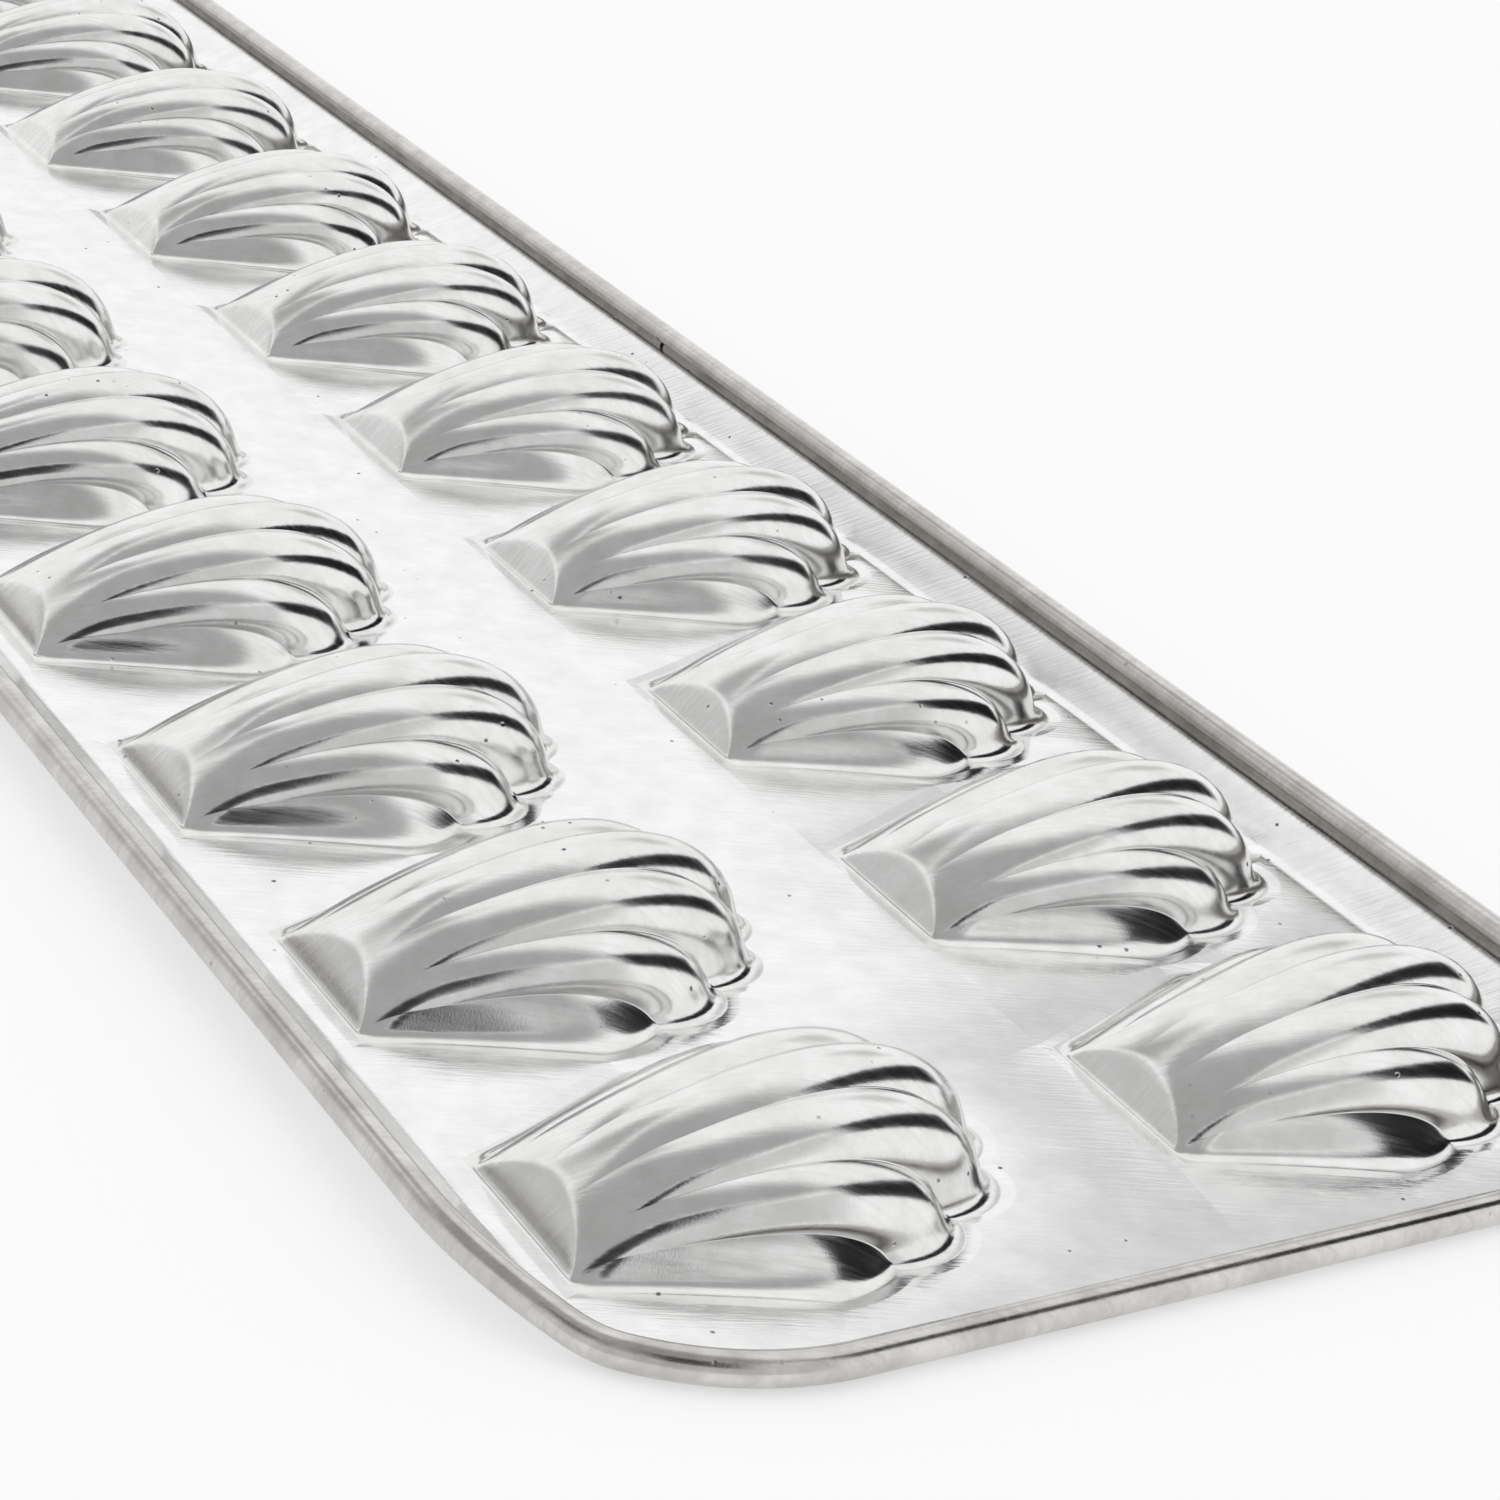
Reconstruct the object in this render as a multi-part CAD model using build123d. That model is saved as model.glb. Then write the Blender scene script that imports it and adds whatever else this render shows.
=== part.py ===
from build123d import *

import os
from math import acos, comb, cos, degrees, hypot, pi, radians, sin, sqrt, tan

import numpy as np

# A pan for small shell-shaped cakes, pressed from one tinplate sheet round a steel rim wire.
# It lies with its mouths down and its shells up. X runs across the pan, Y along it, Z up.
# The origin is the middle of the pan, at the underside of the flat sheet.

# Sheet and outline
sheet_thickness = 0.5
corner_radius = 26.6
end_margin = 8.0
side_strip_width = 7.9
side_strip_rise = 3.5
crease_blend = 0.8

# Rim
wire_diameter = 1.8
wire_clearance = 0.05
wire_butt_gap = 0.4
curl_angle = 262.0
climb_steps = 8

# Places of the shells
cavities_per_row = 10
shell_gap = 4.3
row_gap = 16.4
hinge_inset = 3.2
fan_inset = 1.4

# One shell, outside, above the sheet
shell_length = 43.1
shell_width = 33.7
hinge_width = 17.1
shell_height = 11.0
end_wall_angle = 45.0
rib_count = 7
rib_swell = 2.6
foot_width = 0.8
foot_height = 0.8

# How the shell's crest, outline and ribs run from the hinge to the fan
shoulder_share = 0.463
hinge_height_share = 0.22
crown_share = 0.6
border_sink_share = 0.6
side_valley_share = 0.4
climb_power = 2.5
fall_power = 4
fan_power = 2.4
swell_power = 1.5

# Fineness of the rib surfaces
across_degree = 4
along_degree = 8

# How far a cutting body runs past what it cuts
overrun = 2.0

curl_bore_radius = wire_diameter / 2 + wire_clearance
curl_radius = curl_bore_radius + sheet_thickness
cavity_pitch = shell_width + shell_gap
row_spacing = shell_length + row_gap
flat_width = hinge_inset + shell_length + row_spacing + fan_inset
half_width = flat_width / 2 + side_strip_width
half_length = cavities_per_row * cavity_pitch / 2 + end_margin
rim_x = half_width - curl_radius
rim_y = half_length - curl_radius
rim_corner = corner_radius - curl_radius
crease_x = half_width - side_strip_width
strip_slope = side_strip_rise / (rim_x - crease_x)
left_hinge_x = hinge_inset - crease_x
right_hinge_x = left_hinge_x + row_spacing
row_split_x = right_hinge_x - row_gap / 2


def crest_share(along):
    """The crest's height from the hinge to the fan, as a share of the crown's."""
    climb = 1 - (1 - hinge_height_share) * (1 - along) ** climb_power
    crown_climb = 1 - (1 - hinge_height_share) * (1 - crown_share) ** climb_power
    fall = sqrt(1 - along**fall_power) / sqrt(1 - crown_share**fall_power)
    return climb / crown_climb * fall


def shell_point(across, along, stand_out, inset, level):
    """A point of the shell. Across runs from -1 to 1, along from 0 at the hinge to 1."""
    angle = across * pi / 2
    length = shell_length - rib_swell - inset
    shoulder = shoulder_share * shell_length
    reach = shoulder + (length - shoulder) * (1 - abs(sin(angle)) ** fan_power)
    start_width = hinge_width - 2 * inset
    end_width = shell_width - 2 * rib_swell - 2 * inset
    x = along * reach
    y = sin(angle) * (start_width + along * (end_width - start_width)) / 2
    sink = border_sink_share * sheet_thickness
    crown = shell_height + sink - rib_swell * crown_share**swell_power
    z = crown * crest_share(along) * cos(angle)

    # The rib stands out from the crest, more towards the fan
    away_x = (reach - shell_length / 2) * along**swell_power
    away = hypot(away_x, y, z)
    swell = rib_swell * along**swell_power * stand_out
    x += swell * away_x / away
    y += swell * y / away
    z += swell * z / away - sink

    # The foot of the wall spreads into the sheet
    spread = foot_width * np.exp(-z / foot_height)
    flat = max(hypot(away_x, y), sheet_thickness)
    x += spread * away_x / flat
    y += spread * y / flat
    return np.array((x + inset * tan(radians(end_wall_angle / 2)), y, z + level))


def valley_floor(valley):
    """How far a valley still stands out. The valleys next to the sides are shallower."""
    return side_valley_share if valley in (1, rib_count - 1) else 0


def stand_out_share(rib, place):
    """How far a rib stands out across its width. The outer ribs stay full down to the sheet."""
    before = valley_floor(rib)
    after = valley_floor(rib + 1)
    if rib == 0:
        return 1 - (1 - after) * place**3
    if rib == rib_count - 1:
        return 1 - (1 - before) * (1 - place) ** 3
    offset = 2 * place - 1
    return 1 - offset**2 * (1 - (before + after) / 2 + offset * (before - after) / 2)


def patch_places(degree):
    return [(1 - cos(pi * step / degree)) / 2 for step in range(degree + 1)]


def patch_weights(degree):
    """The matrix that turns points on a curve into its control points."""
    rows = []
    for t in patch_places(degree):
        rows.append([comb(degree, k) * t**k * (1 - t) ** (degree - k) for k in range(degree + 1)])
    return np.linalg.inv(np.array(rows))


def rib_net(rib, inset, level):
    """The control points of one rib's surface, from valley to valley and hinge to fan."""
    grid = []
    for place in patch_places(across_degree):
        across = 2 * (rib + place) / rib_count - 1
        stand_out = stand_out_share(rib, place)
        row = []
        for step in patch_places(along_degree):
            along = sin(step * pi / 2) ** 2
            row.append(shell_point(across, along, stand_out, inset, level))
        grid.append(row)
    across_weights = patch_weights(across_degree)
    along_weights = patch_weights(along_degree)
    net = np.einsum("ij,jkc,lk->ilc", across_weights, np.array(grid), along_weights)
    return [[Vector(*point) for point in row] for row in net]


def room_above(start, level, tilt):
    """A block with its flat underside through a point on the shell's long axis."""
    size = 2 * (shell_length + shell_width)
    block = Box(size, size, size, align=(Align.CENTER, Align.CENTER, Align.MIN))
    return Pos(start, 0, level) * Rot(0, -tilt, 0) * block


def shell_block(inset, level):
    """The space under a shell's surface, with the hinge end cut by its sloping wall."""
    drop = Vector(0, 0, -shell_height - overrun)
    nets = [rib_net(rib, inset, level) for rib in range(rib_count)]
    tops = [Face.make_bezier_surface(net) for net in nets]
    borders = [nets[0][0], nets[-1][-1]]
    for net in nets:
        borders.append([row[0] for row in net])
        borders.append([row[-1] for row in net])
    walls = [Face.extrude(Edge.make_bezier(*border), drop) for border in borders]
    floors = [top.moved(Location(drop)) for top in tops]
    block = Solid(Shell(Face.sew_faces(tops + walls + floors)[0]))
    start = inset * tan(radians(end_wall_angle / 2))
    return block - room_above(start, level, end_wall_angle)


def outline_block():
    """The space over the flat blank inside the rim's seam."""
    blank = RectangleRounded(2 * rim_x, 2 * rim_y, rim_corner)
    return extrude(Pos(0, 0, -half_width) * blank, 2 * half_width)


def cavity_tile(hinge_x, start_x, end_x, start_y, end_y):
    """The sheet round one shell, whose own middle is at Y = 0, and the shell in it."""
    width = end_x - start_x
    length = end_y - start_y
    corner = (Align.MIN, Align.MIN, Align.MIN)
    plate = Pos(start_x, start_y, 0) * Box(width, length, sheet_thickness, align=corner)
    floor_block = Pos(hinge_x, 0, 0) * room_above(0, 0, 180)
    crown = Pos(hinge_x, 0, 0) * shell_block(0, sheet_thickness) - floor_block
    return plate + crown - Pos(hinge_x, 0, 0) * shell_block(sheet_thickness, 0)


def cavity_row(hinge_x, start_x, end_x):
    """A row of tiles along the pan, the two end ones reaching to the rim's seam."""
    first_y = cavity_pitch * (1 - cavities_per_row) / 2
    half_pitch = cavity_pitch / 2
    middle = cavity_tile(hinge_x, start_x, end_x, -half_pitch, half_pitch)
    near = Pos(0, first_y, 0) * cavity_tile(hinge_x, start_x, end_x, -rim_y - first_y, half_pitch)
    near = near & outline_block()
    row = [near]
    for index in range(1, cavities_per_row - 1):
        row.append(Pos(0, first_y + index * cavity_pitch, 0) * middle)
    row.append(mirror(near, about=Plane.XZ))
    return row


def side_flange():
    """The long strip outside the right crease, bent up towards the shells."""
    end_x = rim_x + overrun
    end_z = (end_x - crease_x) * strip_slope
    corners = [
        (crease_x, 0),
        (end_x, end_z),
        (end_x, end_z + sheet_thickness),
        (crease_x, sheet_thickness),
    ]
    profile = Plane.XZ * make_face(Polyline(*corners, close=True))
    return extrude(profile, half_length, both=True) & outline_block()


def rim_level(x):
    """The height of the rim's seam, level on the flat and climbing outside the crease."""
    climb = (abs(x) - crease_x) * strip_slope
    if climb > crease_blend:
        return climb
    return max(0, climb + crease_blend) ** 2 / (4 * crease_blend)


def corner_path():
    """The rim's seam round the corner where X and Y are positive."""
    centre_x = rim_x - rim_corner
    centre_y = rim_y - rim_corner
    level_x = crease_x - crease_blend / strip_slope
    level_angle = acos((level_x - centre_x) / rim_corner)
    points = []
    for step in range(climb_steps + 1):
        angle = level_angle * step / climb_steps
        x = centre_x + rim_corner * cos(angle)
        points.append((x, centre_y + rim_corner * sin(angle), rim_level(x)))
    turn = (-sin(level_angle), cos(level_angle), 0)
    climb = Spline(*points, tangents=[(0, 1, 0), turn])
    rest = 90 - degrees(level_angle)
    level = CenterArc((centre_x, centre_y), rim_corner, degrees(level_angle), rest)
    return Wire([climb, level])


def rim_loop(section):
    """A section swept all round the rim. Its X points out of the pan and its Y up."""
    side_y = rim_y - rim_corner
    end_x = rim_x - rim_corner
    side_plane = Plane((rim_x, 0, side_strip_rise), x_dir=(1, 0, 0), z_dir=(0, -1, 0))
    end_plane = Plane((0, rim_y, 0), x_dir=(0, 1, 0), z_dir=(1, 0, 0))
    side = extrude(side_plane * section, side_y, both=True)
    end = extrude(end_plane * section, end_x, both=True)
    start_plane = Plane((rim_x, side_y, side_strip_rise), x_dir=(1, 0, 0), z_dir=(0, -1, 0))
    start = (start_plane * section).face()
    path = corner_path()
    corner = Solid.sweep(start, path, mode=path.moved(Pos(0, 0, corner_radius)))
    pieces = [side, end]
    pieces += [mirror(side, about=Plane.YZ), mirror(end, about=Plane.XZ)]
    for piece in (corner, mirror(corner, about=Plane.YZ)):
        pieces += [piece, mirror(piece, about=Plane.XZ)]
    return pieces[0].fuse(*pieces[1:])


def rolled_edge():
    """The sheet's edge, rolled up and back over the wire, with its cut edge facing inwards."""
    outside = CenterArc((0, curl_radius), curl_radius, -90, curl_angle)
    inside = CenterArc((0, curl_radius), curl_bore_radius, -90, curl_angle)
    start = Line(outside @ 0, inside @ 0)
    end = Line(outside @ 1, inside @ 1)
    return rim_loop(make_face([outside, end, inside, start]))


def rim_wire():
    """The wire in the rolled edge, with its two ends butted on one long side."""
    loop = rim_loop(Pos(0, curl_radius) * Circle(wire_diameter / 2))
    gap = Box(curl_radius, wire_butt_gap, curl_radius)
    gap = Pos(rim_x, 0, side_strip_rise + curl_radius) * scale(gap, 2)
    return loop - gap


def save(name, shape):
    solids = shape.solids()
    print(name, len(solids), round(sum(solid.volume for solid in solids), 1))
    export_step(solids[0], f"parts/{name}.step")


os.makedirs("parts", exist_ok=True)
for index, tile in enumerate(cavity_row(left_hinge_x, -crease_x, row_split_x), start=1):
    save(f"left_cavity_{index:02d}", tile)
for index, tile in enumerate(cavity_row(right_hinge_x, row_split_x, crease_x), start=1):
    save(f"right_cavity_{index:02d}", tile)
save("right_side_flange", side_flange())
save("left_side_flange", mirror(side_flange(), about=Plane.YZ))
save("rolled_edge", rolled_edge())
save("rim_wire", rim_wire())
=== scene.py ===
from math import acos, asin, atan2, cos, hypot, pi, radians, sin, sqrt

import bpy
import numpy as np
from mathutils import Matrix, Vector
from mathutils.geometry import delaunay_2d_cdt


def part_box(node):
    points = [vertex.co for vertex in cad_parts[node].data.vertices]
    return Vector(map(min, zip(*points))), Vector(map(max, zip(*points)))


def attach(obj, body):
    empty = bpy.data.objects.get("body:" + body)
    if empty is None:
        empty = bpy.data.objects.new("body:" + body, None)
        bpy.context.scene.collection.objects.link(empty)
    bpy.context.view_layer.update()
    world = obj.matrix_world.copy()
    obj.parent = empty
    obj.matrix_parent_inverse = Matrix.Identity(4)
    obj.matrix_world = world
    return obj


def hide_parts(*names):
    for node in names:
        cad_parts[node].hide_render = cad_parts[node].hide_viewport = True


# A pan for small shell-shaped cakes, lying with its shells up on a white table.
# All lengths are in metres. X runs across the pan, Y along it, Z up.

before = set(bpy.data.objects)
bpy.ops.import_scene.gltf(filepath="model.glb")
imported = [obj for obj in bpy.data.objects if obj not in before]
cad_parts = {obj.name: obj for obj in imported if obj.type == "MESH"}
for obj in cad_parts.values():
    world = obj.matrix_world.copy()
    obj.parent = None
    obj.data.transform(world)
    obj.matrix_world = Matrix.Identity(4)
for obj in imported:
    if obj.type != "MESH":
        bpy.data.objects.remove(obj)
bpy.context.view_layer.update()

# Places read from the frame
tile_low, tile_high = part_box("left_cavity_02")
_, edge_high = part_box("rolled_edge")
cavity_pitch = tile_high.y - tile_low.y
crease_x = -tile_low.x
half_width = edge_high.x
half_length = edge_high.y
cavities_per_row = sum(name.startswith("left_cavity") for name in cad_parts)

# Sheet, strips and rim
sheet_thickness = 0.0005
corner_radius = 0.0266
wire_diameter = 0.0018
wire_clearance = 0.00005
curl_angle = radians(262)
curl_waver = radians(3)
curl_waver_waves = ((130, 47, 0), (-61, 83, 2))  # radians a metre along X and Y, and the start
rim_crease_blend = 0.0008
strip_crease_blend = 0.00035
band_width = 0.0025

# Places of the shells
row_spacing = 0.0595
hinge_inset = 0.0032

# One shell, outside, above the sheet
shell_length = 0.0431
shell_width = 0.0337
hinge_width = 0.0171
shell_height = 0.01088
rib_count = 7
rib_swell = 0.0022
foot_width = 0.0011
foot_height = 0.0008
shoulder_share = 0.448
side_crowding = 0.25
hinge_height_share = 0.30
crown_share = 0.6
side_valley_share = 0.4
climb_power = 1.7
fall_power = 4
fan_power = 1.05
swell_power = 1.2
lean_power = 1.5
rib_power = 2.0
outer_rib_power = 3

# How softly the shell meets the sheet, and the three slopes of its hinge wall
toe_blend = 0.0004
ridge_blend = 0.0012
facet_slope = 1.25
facet_blend = 0.00025
shoulder_slope = 0.6
shoulder_lift = 0.0017
toe_reach_power = 8

# The shallow dish that the press leaves round each shell
dish_depth = 0.0002
dish_rings = (0.0002, 0.0005, 0.0008, 0.0011, 0.0013, 0.0014)

# Fineness of the meshes
rib_steps = 14
along_steps = 60
corner_steps = 48
curl_steps = 24
end_steps = 4
long_side_steps = 40
short_side_steps = 6
crease_steps = 40
line_shares = (0, 0.35, 0.7)
flat_columns = len(line_shares)
same_place = 1e-6
weld_distance = 1e-7

# The tinplate's surface: scales a metre, depths in metres
streak_turn = radians(24)
streak_scale = (180, 2400, 90)
streak_shares = (0.5, 0.75)
streak_roughness = 0.07
brush_scale = (150, 1700, 150)
brush_shares = (0.35, 0.75)
brush_depth = 0.00003
brush_roughness = 0.1
mark_strength = 0.6
facet_normal_x = (-0.76, -0.68)
broad_scale = 34.0
wave_scale = 46.0
blotch_scale = 240.0
blotch_shares = (0.35, 0.7)
grain_scale = 5200.0
speck_scale = 420.0
speck_radii = (0.05, 0.11)
speck_patch_scale = 150.0
speck_patch_shares = (0.60, 0.68)
speck_colour = (0.16, 0.15, 0.14, 1)
pit_depth = 0.00004

# Camera
sensor_width = 36.0
lens = 84.09
near_clip = 0.01
camera_place = Vector((-0.17526, -0.36649, 0.15359))
camera_aim = Vector((0.01235, -0.10225, 0.0005))
camera_roll = radians(9.76)

# Light and floor
world_light = 0.86
floor_shade = 0.97
floor_glow = 0.5
floor_size = 8.0
floor_z = -0.0001

curl_bore_radius = wire_diameter / 2 + wire_clearance
curl_radius = curl_bore_radius + sheet_thickness
rim_x = half_width - curl_radius
rim_y = half_length - curl_radius
rim_corner = corner_radius - curl_radius
corner_x = rim_x - rim_corner
corner_y = rim_y - rim_corner
strip_rise = edge_high.z - 2 * curl_radius
strip_slope = strip_rise / (rim_x - crease_x)
left_hinge_x = hinge_inset - crease_x
right_hinge_x = left_hinge_x + row_spacing

FLAT, SHELL, RIM = 0, 1, 2
INSIDE_TRIANGLES = 1


def crest_share(along):
    """The crest's height from the hinge to the fan, as a share of the crown's."""
    climb = 1 - (1 - hinge_height_share) * (1 - along) ** climb_power
    crown_climb = 1 - (1 - hinge_height_share) * (1 - crown_share) ** climb_power
    fall = np.sqrt(1 - along**fall_power) / sqrt(1 - crown_share**fall_power)
    return climb / crown_climb * fall


def soft_max(height, blend):
    """The height where it is above zero, with a soft turn of that blend on to zero."""
    turn = (height + blend) ** 2 / (4 * blend)
    return np.where(height > blend, height, np.where(height < -blend, 0, turn))


def valley_floor(valley):
    """How far a valley still stands out. The valleys next to the sides are shallower."""
    return side_valley_share if valley in (1, rib_count - 1) else 0


def stand_out_share(rib, place):
    """How far a rib stands out across its width. The outer ribs stay full down to the sheet."""
    before = valley_floor(rib)
    after = valley_floor(rib + 1)
    if rib == 0:
        return 1 - (1 - after) * place**outer_rib_power
    if rib == rib_count - 1:
        return 1 - (1 - before) * (1 - place) ** outer_rib_power
    offset = 2 * place - 1
    lean = (before + after) / 2 - offset * (before - after) / 2
    return 1 - abs(offset) ** rib_power * (1 - lean)


def rib_places():
    """Across and stand-out of every mesh line from one side of the shell to the other."""
    across = []
    stand_out = []
    for rib in range(rib_count):
        first = 0 if rib == 0 else 1
        for step in range(first, rib_steps + 1):
            place = (1 - cos(pi * step / rib_steps)) / 2
            across.append(2 * (rib + place) / rib_count - 1)
            stand_out.append(stand_out_share(rib, place))
    return np.array(across), np.array(stand_out)


def shell_grid(inset, level, sink):
    """Points of one side of the shell's sheet, hinge at X = 0, rows across by columns along.

    The inset is how far this side lies inside the outer one, the level its height where it
    meets the flat, and the sink how deep its foot stands in the dish.
    """
    across, stand_out = rib_places()
    across = across[:, None]
    stand_out = stand_out[:, None]
    along = np.sin(np.linspace(0, 1, along_steps + 1) * pi / 2)[None, :] ** 2
    angle = (across * (1 + side_crowding) - side_crowding * across**3) * pi / 2
    length = shell_length - rib_swell - foot_width - inset
    shoulder = shoulder_share * shell_length
    reach = shoulder + (length - shoulder) * np.cos(angle) ** fan_power
    start_width = hinge_width - foot_width - 2 * inset
    end_width = shell_width - 2 * foot_width - 2 * rib_swell - 2 * inset
    x = along * reach
    y = np.sin(angle) * (start_width + along * (end_width - start_width)) / 2
    crown = shell_height + toe_blend - rib_swell * crown_share**swell_power
    z = crown * crest_share(along) * np.cos(angle)

    # The rib stands out from the crest, more towards the fan
    away_x = (reach - shell_length / 2) * along**lean_power
    away = np.sqrt(away_x**2 + y**2 + z**2)
    swell = rib_swell * along**swell_power * stand_out
    x = x + swell * away_x / away
    y = y + swell * y / away
    z = z + swell * z / away - toe_blend

    # The foot of the wall spreads into the sheet
    spread = foot_width * np.exp(-z / foot_height)
    plan_away = np.maximum(np.hypot(away_x, y), sheet_thickness)
    x = x + spread * away_x / plan_away - toe_blend * (1 - along) ** toe_reach_power
    y = y + spread * y / plan_away

    # The hinge wall is a flat facet with a bowed top, a gentler shoulder above it, then the crest
    facet = facet_slope * x
    middle_share = 1 - np.minimum(1, (y / (hinge_width / 2)) ** 2)
    shoulder_wall = shoulder_slope * x + shoulder_lift * middle_share
    wall = facet - soft_max(facet - shoulder_wall, facet_blend)
    z = wall - soft_max(wall - z, ridge_blend)
    z = soft_max(z, toe_blend)
    z = z + level - sink * np.exp(-z / foot_height)

    # The hinge wall is taken to lean at 45 degrees, which moves the inner side's foot this far
    x = x + inset * (sqrt(2) - 1)
    return np.stack((x, y, z), axis=-1)


def border_loop(numbers):
    """The grid's outermost numbers, anticlockwise from the hinge."""
    near = list(numbers[0, :])
    fan = list(numbers[1:, -1])
    far = list(numbers[-1, -2::-1])
    hinge = list(numbers[-2:0:-1, 0])
    return np.array(near + fan + far + hinge)


def strip_height(x, blend):
    """How far the sheet has climbed at X, level on the flat and sloping outside the crease."""
    climb = (abs(x) - crease_x) * strip_slope
    return float(soft_max(np.array(climb), blend))


class SheetBuilder:
    """Gathers the points and faces of the pressed sheet and its rolled edge."""

    def __init__(self):
        self.points = []
        self.count = 0
        self.faces = []
        self.groups = []

    def add_points(self, points):
        points = np.asarray(points, float).reshape(-1, 3)
        self.points.append(points)
        numbers = np.arange(self.count, self.count + len(points))
        self.count += len(points)
        return numbers

    def add_faces(self, faces, group, flip=False):
        for face in faces:
            self.faces.append(tuple(face[::-1]) if flip else tuple(face))
            self.groups.append(group)

    def add_grid(self, numbers, group, flip=False):
        a = numbers[:-1, :-1].ravel()
        b = numbers[:-1, 1:].ravel()
        c = numbers[1:, 1:].ravel()
        d = numbers[1:, :-1].ravel()
        self.add_faces(np.stack((a, b, c, d), axis=-1).tolist(), group, flip)


def crease_lines():
    """The X of the mesh lines along each crease and up each strip."""
    turn = strip_crease_blend / strip_slope
    lines = [crease_x + share * turn for share in (-1, -0.5, 0, 0.5, 1)]
    lines.append((crease_x + turn + rim_x - band_width) / 2)
    return lines


def rim_stations():
    """Plan places on the rim: centre, outward direction, anticlockwise from the middle of +X."""
    band_corner = rim_corner - band_width
    angles = {round(pi / 2 * step / corner_steps, 6) for step in range(corner_steps + 1)}
    crossings = [acos((x - corner_x) / band_corner) for x in crease_lines()]

    # An even station this close to a crease's own gives way to it
    closest = 0.3 * pi / 2 / corner_steps
    angles = [a for a in angles if min(abs(a - c) for c in crossings) > closest]
    angles = sorted(angles + crossings)
    quarter = []
    quarter_steps = long_side_steps // 2
    for step in range(quarter_steps):
        quarter.append((rim_x, corner_y * step / quarter_steps, 1.0, 0.0))
    for angle in angles:
        x = corner_x + rim_corner * cos(angle)
        y = corner_y + rim_corner * sin(angle)
        quarter.append((x, y, cos(angle), sin(angle)))
    for step in range(1, short_side_steps):
        quarter.append((corner_x * (1 - step / short_side_steps), rim_y, 0.0, 1.0))
    quarter = np.array(quarter)
    second = quarter[:0:-1] * (-1, 1, -1, 1)
    middle = np.array([(0.0, rim_y, 0.0, 1.0)])
    half = np.concatenate((quarter, middle, second))
    start = np.array([(-rim_x, 0.0, -1.0, 0.0)])
    other = half[:0:-1] * (1, -1, 1, -1)
    return np.concatenate((half, start, other))


def curl_waver_at(x, y):
    """A slow change of the curl's angle round the rim, as hand tools leave it."""
    waves = [sin(x * along_x + y * along_y + start) for along_x, along_y, start in curl_waver_waves]
    return curl_waver * sum(waves) / len(waves)


def rim_section(station):
    """The sheet's edge at one place on the rim, from the underside round the curl to the top."""
    x, y, out_x, out_y = station
    base_x = x - band_width * out_x
    base_y = y - band_width * out_y
    base_z = strip_height(base_x, strip_crease_blend)
    centre_z = strip_height(x, rim_crease_blend) + curl_radius
    last = curl_angle - pi / 2 + curl_waver_at(x, y)

    def side(radius, level):
        rise = centre_z - level
        distance = hypot(band_width, rise)
        slope = atan2(rise, band_width) - asin(radius / distance)
        run = sqrt(distance**2 - radius**2)
        line = []
        for share in line_shares:
            line.append((share * run * cos(slope), level + share * run * sin(slope)))
        first = slope - pi / 2
        arc = []
        for step in range(curl_steps + 1):
            angle = first + (last - first) * step / curl_steps
            arc.append((band_width + radius * cos(angle), centre_z + radius * sin(angle)))
        return line + arc

    under = side(curl_radius, base_z)
    over = side(curl_bore_radius, base_z + sheet_thickness)
    middle = (curl_radius + curl_bore_radius) / 2
    end = []
    for step in range(1, end_steps):
        turn = pi * step / end_steps
        radius = middle + sheet_thickness / 2 * cos(turn)
        ahead = sheet_thickness / 2 * sin(turn)
        angle = last + ahead / middle
        end.append((band_width + radius * cos(angle), centre_z + radius * sin(angle)))
    outline = under + end + over[::-1]
    return [(base_x + run * out_x, base_y + run * out_y, z) for run, z in outline]


def build_sheet():
    """The whole pressed sheet with both its sides, and its edge rolled round the wire."""
    builder = SheetBuilder()
    sections = np.array([rim_section(station) for station in rim_stations()])
    rim = builder.add_points(sections).reshape(sections.shape[:2])
    ring = np.concatenate((rim, rim[:1]))
    builder.add_grid(ring[:, : flat_columns + 1], FLAT, flip=True)
    builder.add_grid(ring[:, flat_columns : -flat_columns], RIM, flip=True)
    builder.add_grid(ring[:, -flat_columns - 1 :], FLAT, flip=True)

    middle_y = cavity_pitch * (cavities_per_row - 1) / 2
    centres = [index * cavity_pitch - middle_y for index in range(cavities_per_row)]
    over_side = (sheet_thickness, 0.0, rim[:, -1])
    under_side = (0.0, sheet_thickness, rim[:, 0])
    for level, inset, edge in (over_side, under_side):
        under = inset > 0
        sink = 0.0 if under else dish_depth
        grid = shell_grid(inset, level, sink)
        loops = []
        for hinge_x in (left_hinge_x, right_hinge_x):
            for centre_y in centres:
                place = np.array((hinge_x, centre_y, 0.0))
                points = (grid + place).reshape(-1, 3)
                numbers = builder.add_points(points).reshape(grid.shape[:2])
                builder.add_grid(numbers, SHELL, flip=under)
                loop = border_loop(numbers)
                base = points[loop - numbers[0, 0]]
                middle = place[:2] + (shell_length / 2, 0.0)
                away = base[:, :2] - middle
                away /= np.hypot(away[:, 0], away[:, 1])[:, None]
                rings = [loop]
                for distance in dish_rings:
                    reach = distance + inset
                    depth = sink * (1 - distance / dish_rings[-1])
                    flat = base[:, :2] + away * reach
                    climb = [strip_height(x, strip_crease_blend) for x in flat[:, 0]]
                    height = np.array(climb) + level - depth
                    rings.append(builder.add_points(np.column_stack((flat, height))))
                bands = np.array(rings).T
                bands = np.concatenate((bands, bands[:1]))
                builder.add_grid(bands, FLAT, flip=under)
                loops.append(rings[-1])
        add_flat(builder, edge, loops, level, under)
    return builder


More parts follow.
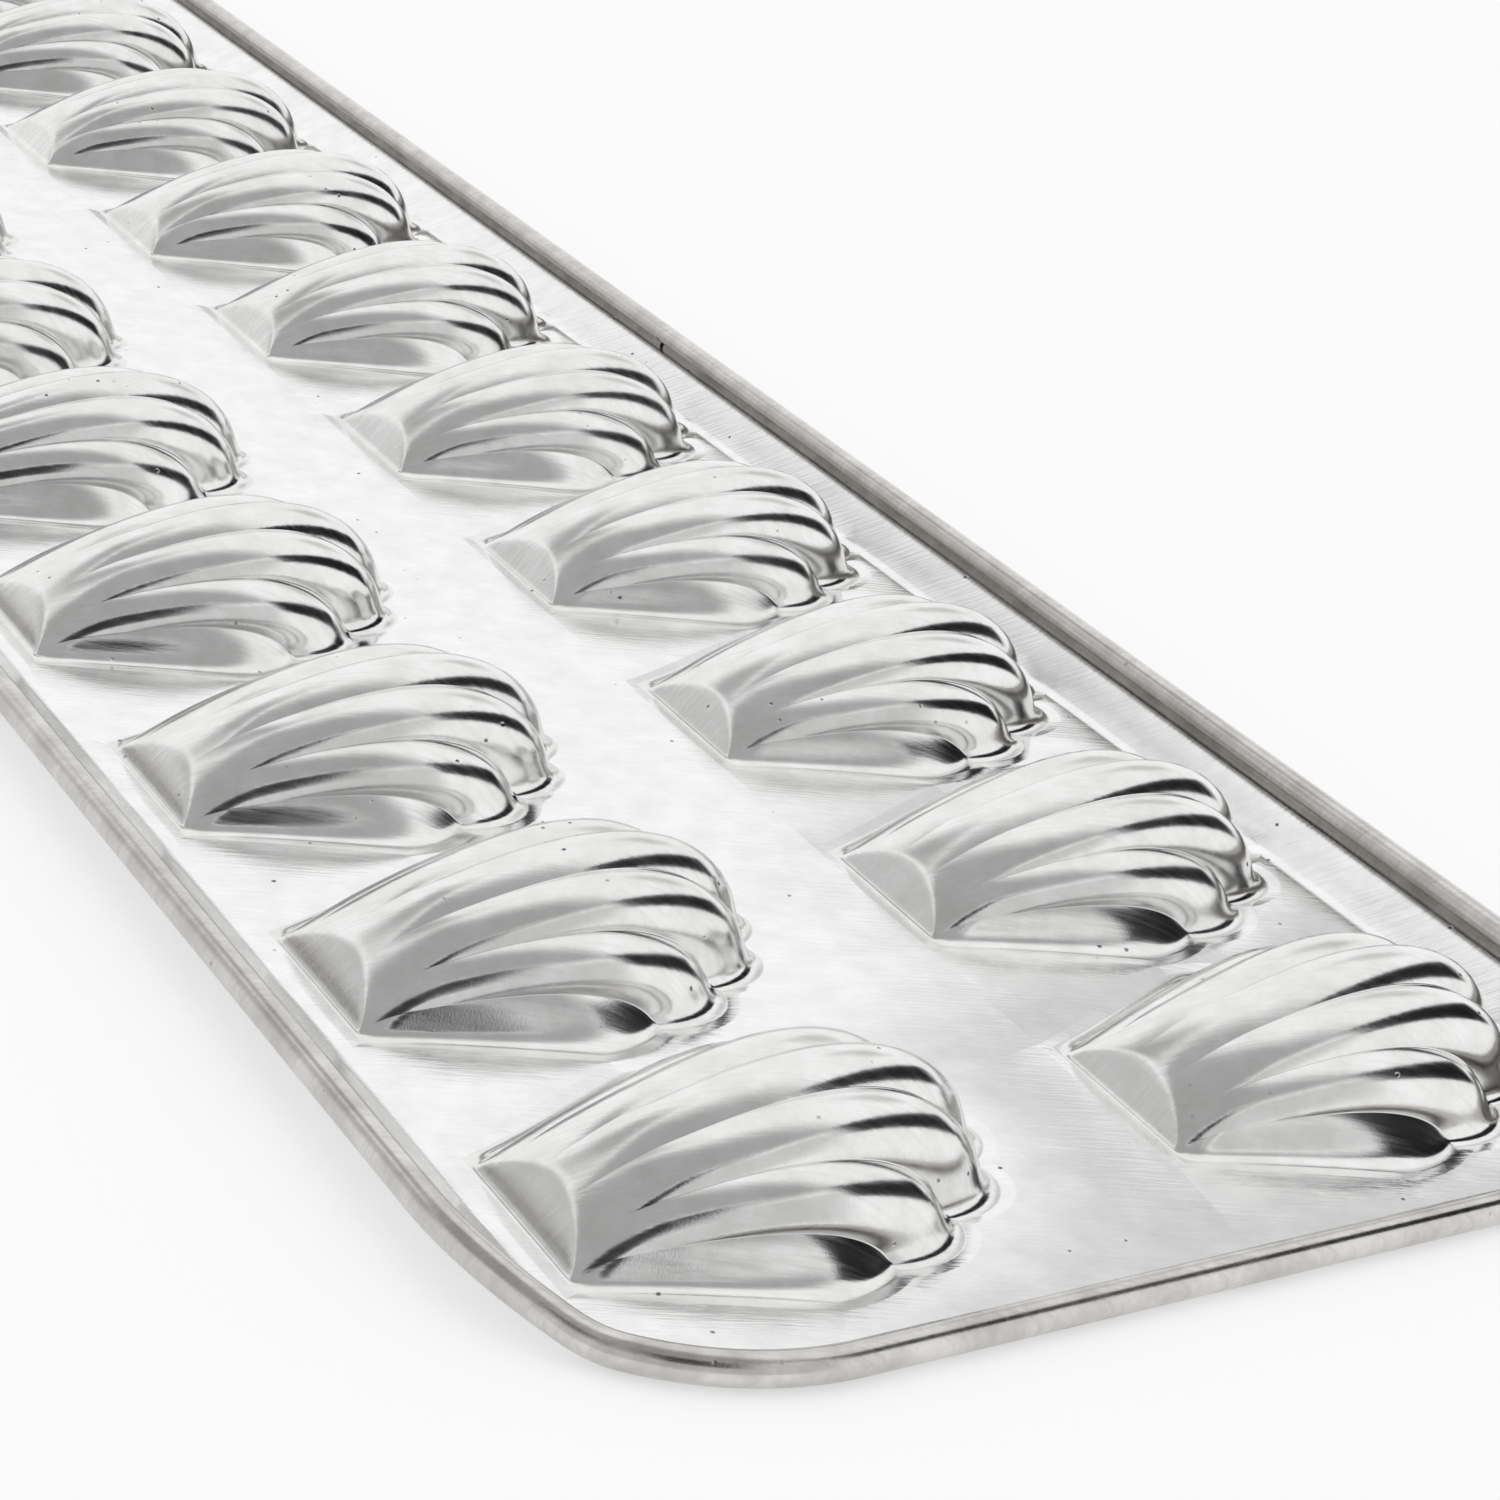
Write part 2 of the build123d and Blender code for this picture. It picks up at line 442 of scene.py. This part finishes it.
def add_flat(builder, edge, loops, level, under):
    """The flat and the strips, between the rim and the dishes round the shells."""
    points = np.concatenate(builder.points)
    known = list(edge)
    for loop in loops:
        known += list(loop)
    plan = [Vector(points[number][:2]) for number in known]
    outline = list(range(len(edge)))
    rounds = []
    start = len(edge)
    for loop in loops:
        rounds.append(list(range(start, start + len(loop))))
        start += len(loop)

    # Each crease line runs from one rim station to the one opposite it
    edge_plan = points[edge][:, :2]
    segments = []
    extra = []
    for line in crease_lines():
        for x in (line, -line):
            ends = [i for i in outline if abs(edge_plan[i][0] - x) < same_place]
            ends = sorted(ends, key=lambda i: edge_plan[i][1])
            first, last = ends[0], ends[-1]
            low, high = edge_plan[first][1], edge_plan[last][1]
            chain = [first]
            for step in range(1, crease_steps):
                y = low + (high - low) * step / crease_steps
                extra.append((x, y, strip_height(x, strip_crease_blend) + level))
                chain.append(len(plan))
                plan.append(Vector((x, y)))
            chain.append(last)
            segments += list(zip(chain[:-1], chain[1:]))
    known += list(builder.add_points(extra))
    regions = [outline] + rounds
    result = delaunay_2d_cdt(plan, segments, regions, INSIDE_TRIANGLES, weld_distance)
    made, _, triangles, kept, _, owners = result
    numbers = []
    for index, sources in enumerate(kept):
        if sources:
            numbers.append(known[sources[0]])
        else:
            x, y = made[index]
            new = builder.add_points([(x, y, strip_height(x, strip_crease_blend) + level)])
            numbers.append(int(new[0]))
    for triangle, owner in zip(triangles, owners):
        if list(owner) != [0]:
            continue
        a, b, c = (made[i] for i in triangle)
        face = [numbers[i] for i in triangle]
        turn = (b - a).cross(c - a)
        if turn < 0:
            face = face[::-1]
        builder.add_faces([face], FLAT, flip=under)


def link_object(name, mesh):
    piece = bpy.data.objects.new(name, mesh)
    bpy.context.scene.collection.objects.link(piece)
    return piece


def piece_from(builder, name, groups):
    """One named piece from some of the builder's faces, shaded as one sheet with its neighbours."""
    points = np.concatenate(builder.points)
    whole = bpy.data.meshes.new("whole_sheet")
    whole.from_pydata(points.tolist(), [], builder.faces)
    whole.polygons.foreach_set("use_smooth", np.ones(len(whole.polygons), bool))
    normals = np.empty(len(points) * 3)
    whole.vertex_normals.foreach_get("vector", normals)
    normals = normals.reshape(-1, 3)
    faces = [face for face, group in zip(builder.faces, builder.groups) if group in groups]
    kinds = [groups.index(group) for group in builder.groups if group in groups]
    used = np.unique(np.array([number for face in faces for number in face]))
    renumber = np.full(len(points), -1)
    renumber[used] = np.arange(len(used))
    faces = [[int(renumber[number]) for number in face] for face in faces]
    mesh = bpy.data.meshes.new(name)
    mesh.from_pydata(points[used].tolist(), [], faces)
    mesh.polygons.foreach_set("use_smooth", np.ones(len(mesh.polygons), bool))
    mesh.polygons.foreach_set("material_index", np.array(kinds, dtype=np.int32))
    mesh.normals_split_custom_set_from_vertices(normals[used].tolist())
    mesh.update()
    bpy.data.meshes.remove(whole)
    return link_object(name, mesh)


class Nodes:
    """A short way to add shader nodes and link them."""

    def __init__(self, tree):
        self.tree = tree
        tree.nodes.clear()

    def add(self, kind, inputs=None, **settings):
        node = self.tree.nodes.new(kind)
        for key, value in settings.items():
            setattr(node, key, value)
        for key, value in (inputs or {}).items():
            if isinstance(value, bpy.types.NodeSocket):
                self.tree.links.new(value, node.inputs[key])
            else:
                node.inputs[key].default_value = value
        return node

    def math(self, operation, *values):
        settings = dict(enumerate(values))
        return self.add("ShaderNodeMath", settings, operation=operation).outputs[0]

    def mix(self, share, first, second):
        node = self.add("ShaderNodeMix", {0: share, 6: first, 7: second}, data_type="RGBA")
        return node.outputs[2]

    def spread(self, value, low, high, to_low, to_high):
        settings = {0: value, 1: low, 2: high, 3: to_low, 4: to_high}
        return self.add("ShaderNodeMapRange", settings).outputs[0]

    def noise(self, vector, scale, detail=2.0, roughness=0.5):
        settings = {"Vector": vector, "Scale": scale, "Detail": detail, "Roughness": roughness}
        return self.add("ShaderNodeTexNoise", settings).outputs[0]

    def bump(self, height, distance, strength=1.0, normal=None):
        settings = {"Height": height, "Distance": distance, "Strength": strength}
        if normal is not None:
            settings["Normal"] = normal
        return self.add("ShaderNodeBump", settings).outputs["Normal"]


def tinplate(name, pale, dark, rough_low, rough_high, streak_bump, grain_bump, wave_bump):
    """Bright tinplate with rolling streaks, fine grain, slow waves, pits and brushed facets."""
    material = bpy.data.materials.new(name)
    material.use_nodes = True
    nodes = Nodes(material.node_tree)
    place = nodes.add("ShaderNodeTexCoord").outputs["Object"]

    # Fine streaks that the rolling left across the sheet
    turned = nodes.add("ShaderNodeMapping", {"Vector": place, "Rotation": (0, 0, streak_turn)})
    stretched = nodes.add("ShaderNodeMapping", {"Vector": turned.outputs[0], "Scale": streak_scale})
    streaks = nodes.noise(stretched.outputs[0], 1.0, detail=3.0, roughness=0.6)
    broad = nodes.noise(place, broad_scale, detail=3.0, roughness=0.55)
    grain = nodes.noise(place, grain_scale, detail=2.0, roughness=0.6)
    waves = nodes.noise(place, wave_scale, detail=1.0, roughness=0.4)
    cloud = nodes.noise(place, blotch_scale, detail=4.0, roughness=0.6)

    # Sparse pits and dark specks
    specks = nodes.add("ShaderNodeTexVoronoi", {"Vector": place, "Scale": speck_scale})
    near_speck = nodes.spread(specks.outputs["Distance"], *speck_radii, 1.0, 0.0)
    patches = nodes.noise(place, speck_patch_scale, detail=0.0)
    rare = nodes.spread(patches, *speck_patch_shares, 0.0, 1.0)
    pits = nodes.math("MULTIPLY", near_speck, rare)

    blotch = nodes.spread(cloud, *blotch_shares, 0.0, 1.0)
    tint = nodes.mix(blotch, pale, dark)
    tint = nodes.mix(nodes.spread(streaks, *streak_shares, 0.0, mark_strength), tint, dark)
    tint = nodes.mix(pits, tint, speck_colour)
    rough = nodes.spread(broad, 0.3, 0.7, rough_low, rough_high)
    rougher = nodes.spread(streaks, 0.4, 0.75, 0.0, streak_roughness)
    rough = nodes.math("ADD", rough, rougher)

    # The steep hinge facets are duller, with brush marks that run up them
    facing = nodes.add("ShaderNodeNewGeometry").outputs["Normal"]
    facing = nodes.add("ShaderNodeSeparateXYZ", {0: facing}).outputs["X"]
    facet = nodes.spread(facing, *facet_normal_x, 1.0, 0.0)
    brushed = nodes.add("ShaderNodeMapping", {"Vector": place, "Scale": brush_scale})
    brush = nodes.noise(brushed.outputs[0], 1.0, detail=3.0, roughness=0.65)
    marks = nodes.math("MULTIPLY", brush, facet)
    rough = nodes.math("MULTIPLY_ADD", facet, brush_roughness, rough)
    tint = nodes.mix(nodes.spread(marks, *brush_shares, 0.0, mark_strength), tint, dark)
    normal = nodes.bump(waves, wave_bump)
    normal = nodes.bump(streaks, streak_bump, normal=normal)
    normal = nodes.bump(marks, brush_depth, normal=normal)
    normal = nodes.bump(grain, grain_bump, normal=normal)
    normal = nodes.bump(pits, -pit_depth, normal=normal)
    shader = nodes.add(
        "ShaderNodeBsdfPrincipled",
        {"Base Color": tint, "Metallic": 1.0, "Roughness": rough, "Normal": normal},
    )
    nodes.add("ShaderNodeOutputMaterial", {"Surface": shader.outputs[0]})
    return material


def seen_or_mirrored(nodes):
    """One for rays from the camera, in metal or through glass, zero for the light itself."""
    path = nodes.add("ShaderNodeLightPath")
    seen = path.outputs["Is Camera Ray"]
    for kind in ("Is Glossy Ray", "Is Transmission Ray"):
        seen = nodes.math("MAXIMUM", seen, path.outputs[kind])
    return seen


def white_surface(name, shade, glow_share):
    """A pale matt surface that keeps soft shadows and shows white to the camera and in metal."""
    material = bpy.data.materials.new(name)
    material.use_nodes = True
    nodes = Nodes(material.node_tree)
    matt = nodes.add("ShaderNodeBsdfDiffuse", {"Color": (shade, shade, shade, 1)})
    glow = nodes.add("ShaderNodeEmission", {"Color": (shade, shade, shade, 1), "Strength": 1.0})
    share = nodes.spread(seen_or_mirrored(nodes), 0.0, 1.0, 0.0, glow_share)
    shader = nodes.add("ShaderNodeMixShader", {0: share, 1: matt.outputs[0], 2: glow.outputs[0]})
    nodes.add("ShaderNodeOutputMaterial", {"Surface": shader.outputs[0]})
    return material


def build_world():
    world = bpy.data.worlds.new("studio")
    bpy.context.scene.world = world
    world.use_nodes = True
    nodes = Nodes(world.node_tree)
    strength = nodes.spread(seen_or_mirrored(nodes), 0.0, 1.0, world_light, 1.0)
    sky = nodes.add("ShaderNodeBackground", {"Color": (1, 1, 1, 1), "Strength": strength})
    nodes.add("ShaderNodeOutputWorld", {"Surface": sky.outputs[0]})


def direction(azimuth, elevation):
    turn = radians(azimuth)
    lift = radians(elevation)
    return Vector((cos(turn) * cos(lift), sin(turn) * cos(lift), sin(lift)))


def card_surface(name, shade, softness):
    """A card's glow in the metal: its shade inside, fading to the white room at its edges."""
    material = bpy.data.materials.new(name)
    material.use_nodes = True
    nodes = Nodes(material.node_tree)
    place = nodes.add("ShaderNodeTexCoord").outputs["Generated"]
    axes = nodes.add("ShaderNodeSeparateXYZ", {0: place})
    shares = []
    for axis, soft in zip(("X", "Y"), softness):
        centred = nodes.spread(axes.outputs[axis], 0.0, 1.0, -1.0, 1.0)
        away = nodes.math("ABSOLUTE", centred)
        shares.append(nodes.spread(away, 1.0 - soft, 1.0, 1.0, 0.0))
    inside = nodes.math("MULTIPLY", *shares)
    glow = nodes.spread(inside, 0.0, 1.0, 1.0, shade)
    shader = nodes.add("ShaderNodeEmission", {"Color": (1, 1, 1, 1), "Strength": glow})
    nodes.add("ShaderNodeOutputMaterial", {"Surface": shader.outputs[0]})
    return material


def card(name, centre, width, height, shade, softness, turn=0.0):
    """A studio card seen only in the metal's reflections, facing the pan."""
    mesh = bpy.data.meshes.new(name)
    corners = [(-width / 2, -height / 2, 0), (width / 2, -height / 2, 0)]
    corners += [(width / 2, height / 2, 0), (-width / 2, height / 2, 0)]
    mesh.from_pydata(corners, [], [(0, 1, 2, 3)])
    piece = link_object(name, mesh)
    facing = centre.to_track_quat("Z", "Y").to_matrix().to_4x4()
    piece.matrix_world = Matrix.Translation(centre) @ facing @ Matrix.Rotation(turn, 4, "Z")
    mesh.materials.append(card_surface(name, shade, softness))
    piece.visible_camera = False
    piece.visible_diffuse = False
    piece.visible_shadow = False


def soft_light(name, azimuth, elevation, distance, size, watts):
    light = bpy.data.lights.new(name, "AREA")
    light.shape = "SQUARE"
    light.size = size
    light.energy = watts
    piece = link_object(name, light)
    piece.visible_glossy = False
    towards = direction(azimuth, elevation)
    turn = towards.to_track_quat("Z", "Y").to_matrix().to_4x4()
    piece.matrix_world = Matrix.Translation(towards * distance) @ turn


def add_camera():
    """The photograph's viewpoint: from the near left, low over the pan, a little rolled."""
    camera = bpy.data.cameras.new("camera")
    camera.sensor_width = sensor_width
    camera.lens = lens
    camera.clip_start = near_clip
    piece = link_object("camera", camera)
    ahead = (camera_aim - camera_place).normalized()
    level = ahead.cross(Vector((0, 0, 1))).normalized()
    above = level.cross(ahead)
    right = level * cos(camera_roll) + above * sin(camera_roll)
    up = right.cross(ahead)
    facing = Matrix((right, up, -ahead)).transposed().to_4x4()
    piece.matrix_world = Matrix.Translation(camera_place) @ facing
    bpy.context.scene.camera = piece


def add_floor():
    mesh = bpy.data.meshes.new("floor")
    half = floor_size / 2
    plan = ((-half, -half), (half, -half), (half, half), (-half, half))
    mesh.from_pydata([(x, y, floor_z) for x, y in plan], [], [(0, 1, 2, 3)])
    floor = link_object("floor", mesh)
    mesh.materials.append(white_surface("floor_white", floor_shade, floor_glow))


builder = build_sheet()
sheet = piece_from(builder, "pressed_sheet", (FLAT, SHELL))
bead = piece_from(builder, "rolled_bead", (RIM,))

flat_tin = tinplate(
    "tinplate_flat",
    pale=(0.94, 0.94, 0.935, 1),
    dark=(0.84, 0.84, 0.84, 1),
    rough_low=0.09,
    rough_high=0.16,
    streak_bump=0.00002,
    grain_bump=0.000002,
    wave_bump=0.00018,
)
shell_tin = tinplate(
    "tinplate_shell",
    pale=(0.87, 0.87, 0.865, 1),
    dark=(0.75, 0.745, 0.735, 1),
    rough_low=0.11,
    rough_high=0.17,
    streak_bump=0.000008,
    grain_bump=0.000004,
    wave_bump=0.00015,
)
rim_tin = tinplate(
    "tinplate_rim",
    pale=(0.72, 0.71, 0.695, 1),
    dark=(0.52, 0.50, 0.48, 1),
    rough_low=0.14,
    rough_high=0.24,
    streak_bump=0.000006,
    grain_bump=0.000006,
    wave_bump=0.0002,
)
wire_steel = tinplate(
    "wire_steel",
    pale=(0.55, 0.53, 0.50, 1),
    dark=(0.40, 0.37, 0.34, 1),
    rough_low=0.3,
    rough_high=0.42,
    streak_bump=0.000006,
    grain_bump=0.000006,
    wave_bump=0.0001,
)
sheet.data.materials.append(flat_tin)
sheet.data.materials.append(shell_tin)
bead.data.materials.append(rim_tin)

cavity_names = [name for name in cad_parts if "_cavity_" in name]
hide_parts("left_side_flange", "right_side_flange", *cavity_names)
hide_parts("rolled_edge")
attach(sheet, "root")
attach(bead, "root")

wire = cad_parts["rim_wire"]
wire.data.materials.clear()
wire.data.materials.append(wire_steel)

add_floor()
build_world()
soft_light("top_light", azimuth=60, elevation=86, distance=1.6, size=1.6, watts=4.5)

# The room that the metal mirrors
card(
    "ceiling_card",
    Vector((-0.47, -0.17, 1.2)),
    width=2.3,
    height=2.1,
    shade=0.42,
    softness=(0.3, 0.35),
)
card(
    "camera_side_card",
    direction(-115, 30) * 1.5,
    width=2.6,
    height=2.2,
    shade=0.66,
    softness=(0.2, 0.2),
)
card(
    "camera_card",
    direction(-112, 44) * 1.3,
    width=0.62,
    height=0.85,
    shade=0.02,
    softness=(0.3, 0.25),
)
card(
    "far_left_card",
    direction(136, 27) * 1.6,
    width=1.25,
    height=1.0,
    shade=0.58,
    softness=(0.5, 0.5),
)
card(
    "window_gap_card",
    direction(-20, 34),
    width=1.35,
    height=0.42,
    shade=0.01,
    softness=(0.12, 0.12),
    turn=radians(-42),
)
card(
    "front_card",
    direction(34, 34) * 1.2,
    width=0.56,
    height=0.44,
    shade=0.66,
    softness=(0.6, 0.6),
)
card(
    "far_right_card",
    direction(100, 47) * 1.4,
    width=0.7,
    height=0.55,
    shade=0.45,
    softness=(0.6, 0.6),
)
add_camera()

bpy.context.scene.view_settings.view_transform = "Standard"
